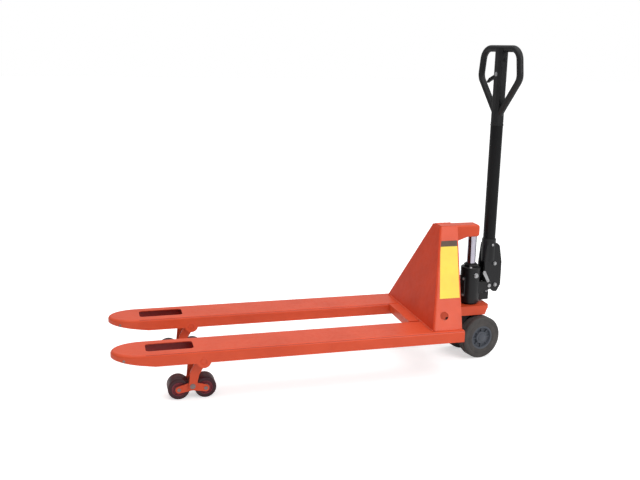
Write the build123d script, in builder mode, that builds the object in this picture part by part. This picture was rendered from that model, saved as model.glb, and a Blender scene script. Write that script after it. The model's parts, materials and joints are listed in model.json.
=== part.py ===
"""Hand pallet truck, lifted and with its handle turned a little to one side.

Every piece is drawn about the ram: X runs from the fork tips (negative) to the handle (positive),
Y across the truck, Z up from the floor. place() then puts the ram at PUMP_X, so that the origin is
on the floor under the middle of the whole truck, and turns the pieces that steer.
"""
from build123d import *
import os
from math import atan2, cos, degrees, hypot, radians, sin

# Whole truck
OVERALL_WIDTH = 550.0
FORK_LENGTH = 1220.0
FORK_WIDTH = 156.0
FORK_TOP = 200.0          # height of the forks as drawn, fully lifted
LIFT = 115.0
PUMP_X = 673.0            # the ram's place along X
REST_STEER = 10.0         # the pump unit's turn as drawn

# Fork frame
FRONT_X = -270.0          # front face of the sloping plate at the forks
TIP_X = FRONT_X - FORK_LENGTH
FORK_Y = (OVERALL_WIDTH - FORK_WIDTH) / 2
SHEET = 5.0
SKIRT = 46.0
BEND_R = 11.0
NOSE_LENGTH = 110.0
NOSE_DEPTH = 22.0
NOSE_TAPER = 155.0
WINDOW_X = (-1367.0, -1195.0)
WINDOW_WIDTH = 78.0
HEEL_REAR_X = -142.0
RIB_X = (-1070.0, -790.0, -510.0)
ENTRY_X = -1445.0
ENTRY_DEPTH = 22.5
ENTRY_R = 16.0
ENTRY_WIDTH = 60.0
ENTRY_AXLE_R = 5.0

# Head
HEAD_TOP = 568.0
HEAD_FRONT_X = -166.0
HEAD_HALF_Y = 36.0
HEAD_REAR_X = 18.0
SIDE_BASE_Y = 256.0
SIDE_REAR_X = (-146.0, -88.0)
PLATE = 6.0
CAP_HALF_Y = 30.0
CAP_UNDERSIDE = 517.0
LASHING_HOLE = (-212.0, 250.0)
LASHING_R = 17.0
LABEL_THICKNESS = 1.0

# Ram, thrust carrier and pump
RAM_R = 18.0
RAM_BOTTOM = 255.0
CARRIER_TOP = 224.0
CARRIER_PLATE = 12.0
CARRIER_FLANGE = 39.0
CARRIER_HALF_Y = 60.0
CARRIER_CHEEK = 8.0
TRUNK_R = 33.0
SHOULDER_R = 50.0
RESERVOIR_R = 41.0
RESERVOIR_Z = (231.0, 385.0)

# Steer wheels
STEER_R = 90.0
STEER_WIDTH = 50.0
STEER_INNER_Y = 38.0
STEER_AXLE_R = 10.0
STEER_HUB_R = 50.0
STEER_TRAIL = 18.0        # the wheels' axle behind the ram

# Handle
PIVOT_X = 74.0
PIVOT_Z = 300.0
PIVOT_R = 8.0
ROLLER_ARM = 16.0
ROLLER_ANGLE = 40.0
PRESS_ROLLER_R = 11.0
BAR_X = 86.0
BAR_R = 25.5
BAR_WALL = 3.5
BAR_Z = (404.0, 978.0)
COLLAR_R = 29.5
SPIGOT_LENGTH = 30.0
GRIP_TUBE_R = 13.5
GRIP_TOP = 1281.0
GRIP_BOTTOM = 1004.0
LEVER_PIVOT_Z = 1180.0
LEVER_CRANK = 12.0

# Lift linkage
SWING = degrees(atan2(57.5, 85.0))       # half the torsion shaft's turn
SHAFT_X = -245.0
SHAFT_DROP = 16.0                        # below the fork's top
SHAFT_R = 10.0
CARRIER_ARM = 85.0                       # from the torsion shaft to the carrier shaft, along X
CARRIER_SHAFT_R = 8.0
LEVER_R = 27.0
LOAD_PIVOT_X = -1164.0
LOAD_PIVOT_DROP = 40.0
LOAD_SHAFT_R = 10.0
BOGIE_X = -1203.0
BOGIE_Z = 54.0
LOAD_KNEE = (BOGIE_X + 8, BOGIE_Z + 50)   # where the load frame's cheeks bend
LOAD_SWING = 37.3                        # half the load frame's turn
FRONT_LEVER_R = 25.0
ROD_R = 7.0
ROD_PIN_R = 5.0
ROD_EYE = (26.0, 24.0, 23.0)
ROLLER_R = 40.0
ROLLER_WIDTH = 64.0
ROLLER_PITCH = 98.0
BOGIE_PIN_R = 7.0
LINK_Y = 33.0
CHEEK_Y = 39.5

# Fits
RUN = 0.05                               # radial clearance of a running fit
CLEAR = 0.5                              # gap between curved faces of different bodies

SIDES = {"left": -1, "right": 1}
SHAFT_Z = FORK_TOP - SHAFT_DROP
LOAD_PIVOT_Z = FORK_TOP - LOAD_PIVOT_DROP
TOP_Z = FORK_TOP - SHEET                 # underside of the fork's top sheet
LEAN = Vector(HEAD_FRONT_X - FRONT_X, 0, HEAD_TOP - FORK_TOP).normalized()
SIDE_LEAN = Vector(0, HEAD_HALF_Y - SIDE_BASE_Y, HEAD_TOP - FORK_TOP).normalized()


def place(piece, name, steered=False):
    """Put a finished piece where it belongs, label it and write it."""
    solid = piece.part
    if steered:
        solid = solid.rotate(Axis.Z, REST_STEER)
    solid = Pos(PUMP_X, 0, 0) * solid
    solid.label = name
    export_step(solid, f"parts/{name}.step")


def across(x, y, z):
    """A sketch plane facing +Y, with its own x along X and its own y up."""
    return Plane(origin=(x, y, z), x_dir=(1, 0, 0), z_dir=(0, -1, 0))


def rod_across(x, z, y_low, y_high, radius, mode=Mode.ADD):
    """A round bar or hole along Y, between two values of Y, in the part being built."""
    with BuildSketch(across(x, y_low, z)) as profile:
        Circle(radius)
    extrude(profile.sketch, amount=y_low - y_high, mode=mode)


def plate_across(points, y_low, y_high, mode=Mode.ADD):
    """A flat plate standing along X and Z, between two values of Y."""
    with BuildSketch(across(0, y_low, 0)) as profile:
        with BuildLine():
            Polyline(*points, close=True)
        make_face()
    extrude(profile.sketch, amount=y_low - y_high, mode=mode)


def bar_across(start, end, start_r, end_r, y_low, y_high):
    """A flat link along X and Z with round ends of two radii."""
    length = hypot(end[0] - start[0], end[1] - start[1])
    turn = degrees(atan2(end[1] - start[1], end[0] - start[0]))
    lean = degrees(atan2(start_r - end_r, length))
    with BuildSketch(across(0, y_low, 0)) as profile:
        with Locations(start):
            Circle(start_r)
        with Locations(end):
            Circle(end_r)
        with BuildLine():
            corners = []
            for centre, radius in ((start, start_r), (end, end_r)):
                for side in (1, -1):
                    angle = radians(turn + side * (90 - lean))
                    corners.append((centre[0] + radius * cos(angle), centre[1] + radius * sin(angle)))
            Polyline(corners[0], corners[2], corners[3], corners[1], close=True)
        make_face()
    extrude(profile.sketch, amount=y_low - y_high)


# ---------------------------------------------------------------- fork frame

def fork_blade(centre_y):
    """A pressed channel with a rounded, tapered nose, a window and two pivot ears."""
    straight = FORK_LENGTH - NOSE_LENGTH
    nose_x = TIP_X + NOSE_LENGTH
    with BuildPart() as blade:
        for inset, top in ((0, FORK_TOP), (SHEET, TOP_Z)):
            with BuildSketch(Plane.XY.offset(top)):
                with Locations((nose_x + straight / 2, centre_y)):
                    Rectangle(straight, FORK_WIDTH - 2 * inset)
                with Locations((nose_x, centre_y)):
                    Ellipse(NOSE_LENGTH - inset, FORK_WIDTH / 2 - inset)
            if inset == 0:
                extrude(amount=-SKIRT)
                rim = blade.edges().filter_by_position(Axis.Z, FORK_TOP - 0.1, FORK_TOP + 0.1)
                fillet([edge for edge in rim if edge.center().X < FRONT_X - 1], BEND_R)
            else:
                extrude(amount=-SKIRT, mode=Mode.SUBTRACT)
        for side in (-1, 1):
            outer = centre_y + side * FORK_WIDTH / 2
            low, high = sorted((outer, outer - side * SHEET))
            rod_across(LOAD_PIVOT_X, LOAD_PIVOT_Z, low, high, 26)
        for rib_x in RIB_X:
            with BuildSketch(Plane.XY.offset(TOP_Z)):
                with Locations((rib_x, centre_y)):
                    Rectangle(SHEET, FORK_WIDTH - 2 * SHEET)
            extrude(amount=-(SKIRT - SHEET))
            with BuildSketch(Plane(origin=(rib_x - SHEET, centre_y, rod_z(rib_x)), z_dir=(1, 0, 0))):
                Circle(ROD_R + 4)
            extrude(amount=2 * SHEET, mode=Mode.SUBTRACT)
        with BuildSketch(Plane.XY.offset(FORK_TOP)):
            with Locations((sum(WINDOW_X) / 2, centre_y)):
                RectangleRounded(WINDOW_X[1] - WINDOW_X[0], WINDOW_WIDTH, 14)
        extrude(amount=-SHEET, mode=Mode.SUBTRACT)
        taper_end = TIP_X + NOSE_TAPER
        below = FORK_TOP - SKIRT - 1
        plate_across(((TIP_X - 1, below), (taper_end, below), (taper_end, FORK_TOP - SKIRT),
                      (TIP_X - 1, FORK_TOP - NOSE_DEPTH)),
                     centre_y - FORK_WIDTH, centre_y + FORK_WIDTH, Mode.SUBTRACT)
        rod_across(LOAD_PIVOT_X, LOAD_PIVOT_Z, centre_y - FORK_WIDTH, centre_y + FORK_WIDTH,
                   LOAD_SHAFT_R, Mode.SUBTRACT)
        rod_across(ENTRY_X, FORK_TOP - ENTRY_DEPTH, centre_y - FORK_WIDTH, centre_y + FORK_WIDTH,
                   ENTRY_AXLE_R, Mode.SUBTRACT)
    return blade


def heel_box(centre_y, side):
    """The closed end of the fork behind the sloping plate, with a bearing for the torsion shaft."""
    length = HEEL_REAR_X - FRONT_X
    with BuildPart() as heel:
        with BuildSketch(Plane.XY.offset(FORK_TOP)):
            with Locations((FRONT_X + length / 2, centre_y)):
                Rectangle(length, FORK_WIDTH)
        extrude(amount=-SKIRT)
        long_edges = heel.edges().filter_by(Axis.X).group_by(Axis.Z)[-1]
        fillet(long_edges, BEND_R)
        with BuildSketch(Plane.XY.offset(TOP_Z)):
            with Locations((FRONT_X + (length - SHEET) / 2, centre_y)):
                Rectangle(length - SHEET, FORK_WIDTH - 2 * SHEET)
        extrude(amount=-SKIRT, mode=Mode.SUBTRACT)
        inner = centre_y - side * FORK_WIDTH / 2
        low, high = sorted((inner, inner + side * 12))
        rod_across(SHAFT_X, SHAFT_Z, low, high, SHAFT_R + 0.8)
        rod_across(SHAFT_X, SHAFT_Z, low - 1, high + 1, SHAFT_R + RUN, Mode.SUBTRACT)
    return heel


def rod_z(x):
    """Height of the push rod's middle at x."""
    part_way = (x - rod_ends()[0][0]) / (rod_ends()[1][0] - rod_ends()[0][0])
    return rod_ends()[0][1] + part_way * (rod_ends()[1][1] - rod_ends()[0][1])


def rod_ends():
    """Middles of the push rod's front and rear eyes, each half way up its pin's travel."""
    front_turn = radians(LOAD_SWING)
    rear_turn = radians(SWING)
    front = (LOAD_PIVOT_X - FRONT_LEVER_R * sin(front_turn),
             LOAD_PIVOT_Z + FRONT_LEVER_R * (1 + cos(front_turn)) / 2)
    rear = (SHAFT_X - LEVER_R * sin(rear_turn), SHAFT_Z - LEVER_R * (1 + cos(rear_turn)) / 2)
    return front, rear


def front_pin():
    """The rod pin in the load frame's lever, as drawn."""
    turn = radians(LOAD_SWING)
    return LOAD_PIVOT_X - FRONT_LEVER_R * sin(turn), LOAD_PIVOT_Z + FRONT_LEVER_R * cos(turn)


def rear_pin():
    """The rod pin in the torsion shaft's lever, as drawn."""
    turn = radians(SWING)
    return SHAFT_X - LEVER_R * sin(turn), SHAFT_Z - LEVER_R * cos(turn)


def side_plane(side):
    """The outer face of a leaning side plate: its own x along X, its own y up the slope."""
    up = Vector(0, side * SIDE_LEAN.Y, SIDE_LEAN.Z)
    return Plane(origin=(0, side * SIDE_BASE_Y, FORK_TOP), x_dir=(1, 0, 0), z_dir=Vector(1, 0, 0).cross(up))


def up_slope(z):
    """Distance up a side plate's slope at height z."""
    return (z - FORK_TOP) / SIDE_LEAN.Z


def side_plate(side):
    """A leaning side plate with its lashing hole."""
    plane = side_plane(side)
    inward = SHEET * side
    foot = 3.0
    behind = PLATE / LEAN.Z + 0.2
    slope = LEAN.X / LEAN.Z * SIDE_LEAN.Z
    top = up_slope(HEAD_TOP)
    rear_slope = (SIDE_REAR_X[1] - SIDE_REAR_X[0]) / top
    with BuildPart() as sheet:
        with BuildSketch(plane):
            with BuildLine():
                Polyline((FRONT_X + behind + slope * foot, foot), (SIDE_REAR_X[0] + rear_slope * foot, foot),
                         (SIDE_REAR_X[1], top), (HEAD_FRONT_X + behind, top), close=True)
            make_face()
            with Locations((LASHING_HOLE[0], up_slope(LASHING_HOLE[1]))):
                Circle(LASHING_R, mode=Mode.SUBTRACT)
        extrude(amount=inward * -plane.z_dir.Y / abs(plane.z_dir.Y))
    return sheet


def build_frame():
    for word, side in SIDES.items():
        place(fork_blade(side * FORK_Y), f"fork_{word}")
        place(heel_box(side * FORK_Y, side), f"heel_{word}")
        place(side_plate(side), f"side_plate_{word}")

    gap = FORK_Y - FORK_WIDTH / 2
    with BuildPart() as cross_member:
        plate_across(((-315, FORK_TOP), (-262, FORK_TOP), (-262, 174), (-268, 174), (-268, FORK_TOP - PLATE),
                      (-309, FORK_TOP - PLATE), (-309, 166), (-315, 166)), -gap, gap)
    place(cross_member, "cross_member")

    with BuildPart() as front_plate:
        plane = Plane(origin=(FRONT_X, 0, FORK_TOP), x_dir=(0, 1, 0), z_dir=(LEAN.Z, 0, -LEAN.X))
        foot = PLATE * LEAN.X / LEAN.Z
        top = (HEAD_TOP - FORK_TOP) / LEAN.Z
        with BuildSketch(plane):
            with BuildLine():
                Polyline((-SIDE_BASE_Y, foot), (SIDE_BASE_Y, foot), (HEAD_HALF_Y, top), (-HEAD_HALF_Y, top),
                         close=True)
            make_face()
        extrude(amount=PLATE)
    place(front_plate, "front_plate")

    with BuildPart() as head_cap:
        with BuildSketch(across(0, CAP_HALF_Y, 0)):
            with BuildLine():
                FilletPolyline((HEAD_FRONT_X + 10, HEAD_TOP), (HEAD_REAR_X, HEAD_TOP),
                               (HEAD_REAR_X, CAP_UNDERSIDE), (-34, CAP_UNDERSIDE), (-92, 497), (-162, 497),
                               radius=(12, 12, 14, 8))
                Polyline((-162, 497), (-174, 512), (HEAD_FRONT_X + 10, HEAD_TOP))
            make_face()
        extrude(amount=2 * CAP_HALF_Y)
        cheeks = head_cap.faces().filter_by(Axis.Y)
        fillet(cheeks.edges().filter_by_position(Axis.X, -60, HEAD_REAR_X + 1), 7)
        with BuildSketch(Plane.XY.offset(HEAD_TOP)):
            with BuildLine():
                Polyline((HEAD_FRONT_X + 8, -HEAD_HALF_Y + 6), (-60, -CAP_HALF_Y + 8), (-60, CAP_HALF_Y - 8),
                         (HEAD_FRONT_X + 8, HEAD_HALF_Y - 6), close=True)
            make_face()
        extrude(amount=-PLATE)
        with BuildSketch(Plane.XY.offset(CAP_UNDERSIDE - 40)):
            Circle(RAM_R)
        extrude(amount=40 + 22, mode=Mode.SUBTRACT)
    place(head_cap, "head_cap")

    with BuildPart() as ram_rod:
        with BuildSketch(Plane.XY.offset(RAM_BOTTOM)):
            Circle(RAM_R)
        extrude(amount=CAP_UNDERSIDE + 22 - RAM_BOTTOM)
        chamfer(ram_rod.edges().group_by(Axis.Z)[0], 2)
    place(ram_rod, "ram_rod")

    with BuildPart() as label_plates:
        for side in SIDES.values():
            plane = side_plane(side)
            outward = -LABEL_THICKNESS * side * -plane.z_dir.Y / abs(plane.z_dir.Y)
            with BuildSketch(plane):
                with BuildLine():
                    Polyline((-219, up_slope(310)), (-134, up_slope(310)), (-102, up_slope(515)),
                             (-171, up_slope(515)), (-180, up_slope(492)), close=True)
                make_face()
            extrude(amount=outward)
    place(label_plates, "label_plates")

    with BuildPart() as load_shafts:
        for side in SIDES.values():
            middle = side * FORK_Y
            rod_across(LOAD_PIVOT_X, LOAD_PIVOT_Z, middle - FORK_WIDTH / 2, middle + FORK_WIDTH / 2, LOAD_SHAFT_R)
    place(load_shafts, "load_frame_shafts")

    with BuildPart() as entry_axles:
        for side in SIDES.values():
            middle = side * FORK_Y
            half = FORK_WIDTH / 2 * (1 - ((ENTRY_X - TIP_X - NOSE_LENGTH) / NOSE_LENGTH) ** 2) ** 0.5
            rod_across(ENTRY_X, FORK_TOP - ENTRY_DEPTH, middle - half, middle + half, ENTRY_AXLE_R)
    place(entry_axles, "entry_axles")

    for word, side in SIDES.items():
        middle = side * FORK_Y
        with BuildPart() as entry_roller:
            rod_across(ENTRY_X, FORK_TOP - ENTRY_DEPTH, middle - ENTRY_WIDTH / 2, middle + ENTRY_WIDTH / 2, ENTRY_R)
            fillet(entry_roller.edges().filter_by(GeomType.CIRCLE), 3)
            rod_across(ENTRY_X, FORK_TOP - ENTRY_DEPTH, middle - ENTRY_WIDTH, middle + ENTRY_WIDTH,
                       ENTRY_AXLE_R + RUN, Mode.SUBTRACT)
        place(entry_roller, f"entry_roller_{word}")


# ---------------------------------------------------------------- lift linkage

def build_linkage():
    carrier_pin = (SHAFT_X + CARRIER_ARM, SHAFT_Z - 57.5)
    arm_turn = -radians(SWING)

    with BuildPart() as torsion_shaft:
        rod_across(SHAFT_X, SHAFT_Z, -262, 262, SHAFT_R)
        chamfer(torsion_shaft.edges().filter_by(GeomType.CIRCLE), 1.5)
    place(torsion_shaft, "torsion_shaft")

    near = CARRIER_ARM - 1
    far = CARRIER_ARM / cos(radians(SWING)) + 1
    with BuildPart() as rocker_arms:
        for low in (-48, 38):
            tip = (SHAFT_X + far * cos(arm_turn), SHAFT_Z + far * sin(arm_turn))
            bar_across((SHAFT_X, SHAFT_Z), tip, 15.5, 17, low, low + 10)
        with BuildSketch(across(SHAFT_X, 100, SHAFT_Z)):
            with Locations(Location((near + far) / 2 * Vector(cos(arm_turn), sin(arm_turn)), degrees(arm_turn))):
                SlotCenterToCenter(far - near, 2 * (CARRIER_SHAFT_R + 3))
        extrude(amount=200, mode=Mode.SUBTRACT)
        rod_across(SHAFT_X, SHAFT_Z, -100, 100, SHAFT_R, Mode.SUBTRACT)
    place(rocker_arms, "rocker_arms")

    with BuildPart() as rod_levers:
        for side in SIDES.values():
            for offset in (-19.5, 13.5):
                low = side * FORK_Y + offset
                bar_across((SHAFT_X, SHAFT_Z), rear_pin(), SHAFT_R + 0.8, 8.5, low, low + 6)
        rod_across(SHAFT_X, SHAFT_Z, -275, 275, SHAFT_R, Mode.SUBTRACT)
        rod_across(*rear_pin(), -275, 275, ROD_PIN_R, Mode.SUBTRACT)
    place(rod_levers, "rod_levers")

    with BuildPart() as lever_pins:
        for side in SIDES.values():
            rod_across(*rear_pin(), side * FORK_Y - 21, side * FORK_Y + 21, ROD_PIN_R)
    place(lever_pins, "lever_pins")

    front, rear = rod_ends()
    eye_x, eye_y, eye_z = ROD_EYE
    slot_height = FRONT_LEVER_R * (1 - cos(radians(LOAD_SWING))) + 2 * ROD_PIN_R + 1.2
    for word, side in SIDES.items():
        with BuildPart() as push_rod:
            along = Vector(rear[0] - front[0], 0, rear[1] - front[1])
            with BuildSketch(Plane(origin=(front[0], side * FORK_Y, front[1]), z_dir=along)):
                Circle(ROD_R)
            extrude(amount=along.length)
            for x, z in (front, rear):
                plate_across(((x - eye_x / 2, z - eye_z / 2), (x + eye_x / 2, z - eye_z / 2),
                              (x + eye_x / 2, z + eye_z / 2), (x - eye_x / 2, z + eye_z / 2)),
                             side * FORK_Y - eye_y / 2, side * FORK_Y + eye_y / 2)
            for x, z in (front, rear):
                with BuildSketch(across(x, side * FORK_Y + eye_y, z)):
                    SlotOverall(slot_height, 2 * ROD_PIN_R + 2.4, rotation=90)
                extrude(amount=2 * eye_y, mode=Mode.SUBTRACT)
        place(push_rod, f"push_rod_{word}")

        with BuildPart() as load_frame:
            middle = side * FORK_Y
            pivot = (LOAD_PIVOT_X, LOAD_PIVOT_Z)
            for low in (CHEEK_Y, -CHEEK_Y - 7):
                bar_across(pivot, LOAD_KNEE, 19, 17, middle + low, middle + low + 7)
                bar_across(LOAD_KNEE, (BOGIE_X, BOGIE_Z), 17, 14, middle + low, middle + low + 7)
            for low in (13.5, -60):
                rod_across(*pivot, middle + low, middle + low + 46.5, 16)
            for offset in (-19.5, 13.5):
                bar_across(pivot, front_pin(), 15, 9, middle + offset, middle + offset + 6)
            brace = 15.0
            arm = Vector(BOGIE_X - pivot[0], 0, BOGIE_Z - pivot[1]).normalized()
            brace_at = Vector(pivot[0], middle, pivot[1]) + arm * brace
            with BuildSketch(Plane(origin=brace_at, x_dir=(0, 1, 0), z_dir=arm)):
                Rectangle(2 * CHEEK_Y, 28)
            extrude(amount=5)
            rod_across(*pivot, middle - 80, middle + 80, LOAD_SHAFT_R + RUN, Mode.SUBTRACT)
            rod_across(*front_pin(), middle - 80, middle + 80, ROD_PIN_R, Mode.SUBTRACT)
            rod_across(BOGIE_X, BOGIE_Z, middle - 80, middle + 80, BOGIE_PIN_R + RUN, Mode.SUBTRACT)
        place(load_frame, f"load_frame_{word}")

        with BuildPart() as rod_pin:
            rod_across(*front_pin(), middle - 21, middle + 21, ROD_PIN_R)
        place(rod_pin, f"rod_pin_{word}")

        axles = [(BOGIE_X + end * ROLLER_PITCH / 2, ROLLER_R) for end in (-1, 1)]
        with BuildPart() as bogie_shaft:
            rod_across(BOGIE_X, BOGIE_Z, middle - CHEEK_Y - 9, middle + CHEEK_Y + 9, BOGIE_PIN_R)
        place(bogie_shaft, f"bogie_shaft_{word}")

        with BuildPart() as roller_axles:
            for x, z in axles:
                rod_across(x, z, middle - LINK_Y - 6, middle + LINK_Y + 6, BOGIE_PIN_R)
        place(roller_axles, f"roller_axles_{word}")

        with BuildPart() as links:
            for low in (LINK_Y, -LINK_Y - 5):
                for x, z in axles:
                    bar_across((x, z), (BOGIE_X, BOGIE_Z - 3), 13, 16, middle + low, middle + low + 5)
            for x, z in axles:
                rod_across(x, z, middle - 80, middle + 80, BOGIE_PIN_R, Mode.SUBTRACT)
            rod_across(BOGIE_X, BOGIE_Z, middle - 80, middle + 80, BOGIE_PIN_R + RUN, Mode.SUBTRACT)
        place(links, f"bogie_links_{word}")

        for end, (x, z) in zip(("front", "rear"), axles):
            with BuildPart() as roller:
                rod_across(x, z, middle - ROLLER_WIDTH / 2, middle + ROLLER_WIDTH / 2, ROLLER_R)
                fillet(roller.edges().filter_by(GeomType.CIRCLE), 4)
                for low in (middle - ROLLER_WIDTH / 2, middle + ROLLER_WIDTH / 2 - 3):
                    rod_across(x, z, low, low + 3, 24, Mode.SUBTRACT)
                for low in (middle - ROLLER_WIDTH / 2, middle + ROLLER_WIDTH / 2 - 3):
                    rod_across(x, z, low, low + 3, 17)
                rod_across(x, z, middle - 80, middle + 80, BOGIE_PIN_R + RUN, Mode.SUBTRACT)
            place(roller, f"load_roller_{word}_{end}")

    with BuildPart() as carrier_shaft:
        rod_across(*carrier_pin, -CARRIER_HALF_Y - 4, CARRIER_HALF_Y + 4, CARRIER_SHAFT_R)
        chamfer(carrier_shaft.edges().filter_by(GeomType.CIRCLE), 1)
    place(carrier_shaft, "carrier_shaft")

    with BuildPart() as thrust_carrier:
        x, z = carrier_pin
        bottom = CARRIER_TOP - CARRIER_FLANGE
        for low in (-CARRIER_HALF_Y, CARRIER_HALF_Y - CARRIER_CHEEK):
            plate_across(((62, CARRIER_TOP - CARRIER_PLATE / 2), (50, bottom), (x + 32, bottom), (x + 14, z),
                          (x - 14, z), (x - 14, 202), (x + 8, CARRIER_TOP - CARRIER_PLATE / 2)),
                         low, low + CARRIER_CHEEK)
            rod_across(x, z, low, low + CARRIER_CHEEK, 14)
        with BuildSketch(Plane.XY.offset(CARRIER_TOP)):
            with BuildLine():
                Polyline((x + 8, -CARRIER_HALF_Y), (62, -CARRIER_HALF_Y), (72, -40), (72, 40),
                         (62, CARRIER_HALF_Y), (x + 8, CARRIER_HALF_Y), close=True)
            make_face()
        extrude(amount=-CARRIER_PLATE)
        with BuildSketch(Plane.XY.offset(CARRIER_TOP)):
            Circle(TRUNK_R + CLEAR)
        extrude(amount=-CARRIER_PLATE, mode=Mode.SUBTRACT)
        rod_across(x, z, -80, 80, CARRIER_SHAFT_R, Mode.SUBTRACT)
    place(thrust_carrier, "thrust_carrier")

    with BuildPart() as thrust_bearing:
        with BuildSketch(Plane.XY.offset(CARRIER_TOP - CARRIER_PLATE - 9.5)):
            Circle(SHOULDER_R - 1)
            Circle(TRUNK_R + CLEAR, mode=Mode.SUBTRACT)
        extrude(amount=9.5)
    place(thrust_bearing, "thrust_bearing")


# ---------------------------------------------------------------- pump unit

def build_pump():
    roller = (PIVOT_X + ROLLER_ARM * cos(radians(ROLLER_ANGLE)), PIVOT_Z + ROLLER_ARM * sin(radians(ROLLER_ANGLE)))
    plunger_r = 8.0
    barrel_z = (231.5, 262.0)
    shoulder_top = CARRIER_TOP - CARRIER_PLATE - 10
    with BuildPart() as pump_body:
        with BuildSketch(Plane.XY.offset(RESERVOIR_Z[0])):
            Circle(RESERVOIR_R)
        extrude(amount=RESERVOIR_Z[1] - RESERVOIR_Z[0])
        fillet(pump_body.edges().group_by(Axis.Z)[-1], 6)
        with BuildSketch(Plane.XY.offset(72)):
            Circle(TRUNK_R)
        extrude(amount=RESERVOIR_Z[0] - 72)
        with BuildSketch(Plane.XY.offset(shoulder_top - 16)):
            Circle(SHOULDER_R)
        extrude(amount=16)
        rod_across(STEER_TRAIL, STEER_R, 0.7 - STEER_INNER_Y, STEER_INNER_Y - 0.7, 24)
        with BuildSketch(Plane.XY.offset(barrel_z[0])):
            with Locations((roller[0], 0)):
                Circle(12)
            with Locations((roller[0] / 2, 0)):
                Rectangle(roller[0], 22)
        extrude(amount=barrel_z[1] - barrel_z[0])
        for low in (-36, 27):
            bar_across((20, PIVOT_Z - 4), (PIVOT_X, PIVOT_Z), 26, 17, low, low + 9)
        with BuildSketch(Plane.YZ.offset(-RESERVOIR_R)):
            with Locations((0, 300)):
                RectangleRounded(38, 90, 6)
        extrude(amount=10)
        with BuildSketch(Plane.XY.offset(138)):
            Circle(RAM_R + CLEAR)
        extrude(amount=RESERVOIR_Z[1], mode=Mode.SUBTRACT)
        with BuildSketch(Plane.XY.offset(barrel_z[0] + 4)):
            with Locations((roller[0], 0)):
                Circle(plunger_r + RUN)
        extrude(amount=50, mode=Mode.SUBTRACT)
        rod_across(PIVOT_X, PIVOT_Z, -60, 60, PIVOT_R, Mode.SUBTRACT)
        rod_across(STEER_TRAIL, STEER_R, -60, 60, STEER_AXLE_R, Mode.SUBTRACT)
    place(pump_body, "pump_body", steered=True)

    with BuildPart() as gland:
        with BuildSketch(Plane.XY.offset(RESERVOIR_Z[1])):
            RegularPolygon(30, 8)
        extrude(amount=11)
        chamfer(gland.edges().group_by(Axis.Z)[-1], 2)
        with BuildSketch(Plane.XY.offset(RESERVOIR_Z[1])):
            Circle(RAM_R + CLEAR)
        extrude(amount=20, mode=Mode.SUBTRACT)
    place(gland, "cylinder_gland", steered=True)

    with BuildPart() as filler_plug:
        with BuildSketch(Plane(origin=(0, -RESERVOIR_R + 1, 352), z_dir=(0, -1, 0))):
            RegularPolygon(9, 6)
        extrude(amount=8)
        with BuildSketch(Plane(origin=(0, -RESERVOIR_R + 1, 352), z_dir=(0, -1, 0))):
            Circle(10.5)
        extrude(amount=3)
        with BuildSketch(Plane.XY.offset(300)):
            Circle(RESERVOIR_R)
        extrude(amount=80, mode=Mode.SUBTRACT)
    place(filler_plug, "filler_plug", steered=True)

    with BuildPart() as pump_bolts:
        for y in (-12, 12):
            for z in (265, 335):
                with BuildSketch(Plane(origin=(-RESERVOIR_R, y, z), z_dir=(-1, 0, 0))):
                    Circle(4.5)
                extrude(amount=5)
    place(pump_bolts, "pump_bolts", steered=True)

    with BuildPart() as steer_axle:
        end = STEER_INNER_Y + STEER_WIDTH - 6
        rod_across(STEER_TRAIL, STEER_R, -end, end, STEER_AXLE_R)
        chamfer(steer_axle.edges().filter_by(GeomType.CIRCLE), 1.5)
    place(steer_axle, "steer_axle", steered=True)

    with BuildPart() as pivot_pins:
        for low in (-39, 16.5):
            rod_across(PIVOT_X, PIVOT_Z, low, low + 22.5, PIVOT_R)
    place(pivot_pins, "handle_pivot_pins", steered=True)

    plunger_top = roller[1] - PRESS_ROLLER_R - 0.3
    with BuildPart() as plunger:
        with BuildSketch(Plane.XY.offset(barrel_z[0] + 30)):
            with Locations((roller[0], 0)):
                Circle(plunger_r)
        extrude(amount=plunger_top - barrel_z[0] - 30)
        with BuildSketch(Plane.XY.offset(plunger_top - 6)):
            with Locations((roller[0], 0)):
                Circle(11.5)
        extrude(amount=5)
    place(plunger, "pump_plunger", steered=True)

    with BuildPart() as spring:
        with BuildSketch(Plane.XY.offset(barrel_z[1])):
            with Locations((roller[0], 0)):
                Circle(11.3)
                Circle(plunger_r + 0.6, mode=Mode.SUBTRACT)
        extrude(amount=plunger_top - 6 - barrel_z[1])
    place(spring, "plunger_spring", steered=True)

    for word, side in SIDES.items():
        low, high = sorted((side * STEER_INNER_Y, side * (STEER_INNER_Y + STEER_WIDTH)))
        outer = side * (STEER_INNER_Y + STEER_WIDTH)
        with BuildPart() as tyre:
            rod_across(STEER_TRAIL, STEER_R, low, high, STEER_R)
            fillet(tyre.edges().filter_by(GeomType.CIRCLE), 5)
            rod_across(STEER_TRAIL, STEER_R, low - 1, high + 1, STEER_HUB_R, Mode.SUBTRACT)
        place(tyre, f"steer_tyre_{word}", steered=True)
        with BuildPart() as hub:
            rod_across(STEER_TRAIL, STEER_R, low + 2, high - 2, STEER_HUB_R)
            for near_face, far_face in ((low + 2, low + 12), (high - 12, high - 2)):
                rod_across(STEER_TRAIL, STEER_R, near_face, far_face, 41, Mode.SUBTRACT)
            rod_across(STEER_TRAIL, STEER_R, low + 4, high - 4, 27)
            face_low, face_high = sorted((outer - side * 9, outer - side * 4))
            rod_across(STEER_TRAIL, STEER_R, face_low, face_high, 16, Mode.SUBTRACT)
            rod_across(STEER_TRAIL, STEER_R, low - 1, high + 1, STEER_AXLE_R + RUN, Mode.SUBTRACT)
        place(hub, f"steer_hub_{word}", steered=True)


# ---------------------------------------------------------------- handle

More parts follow.
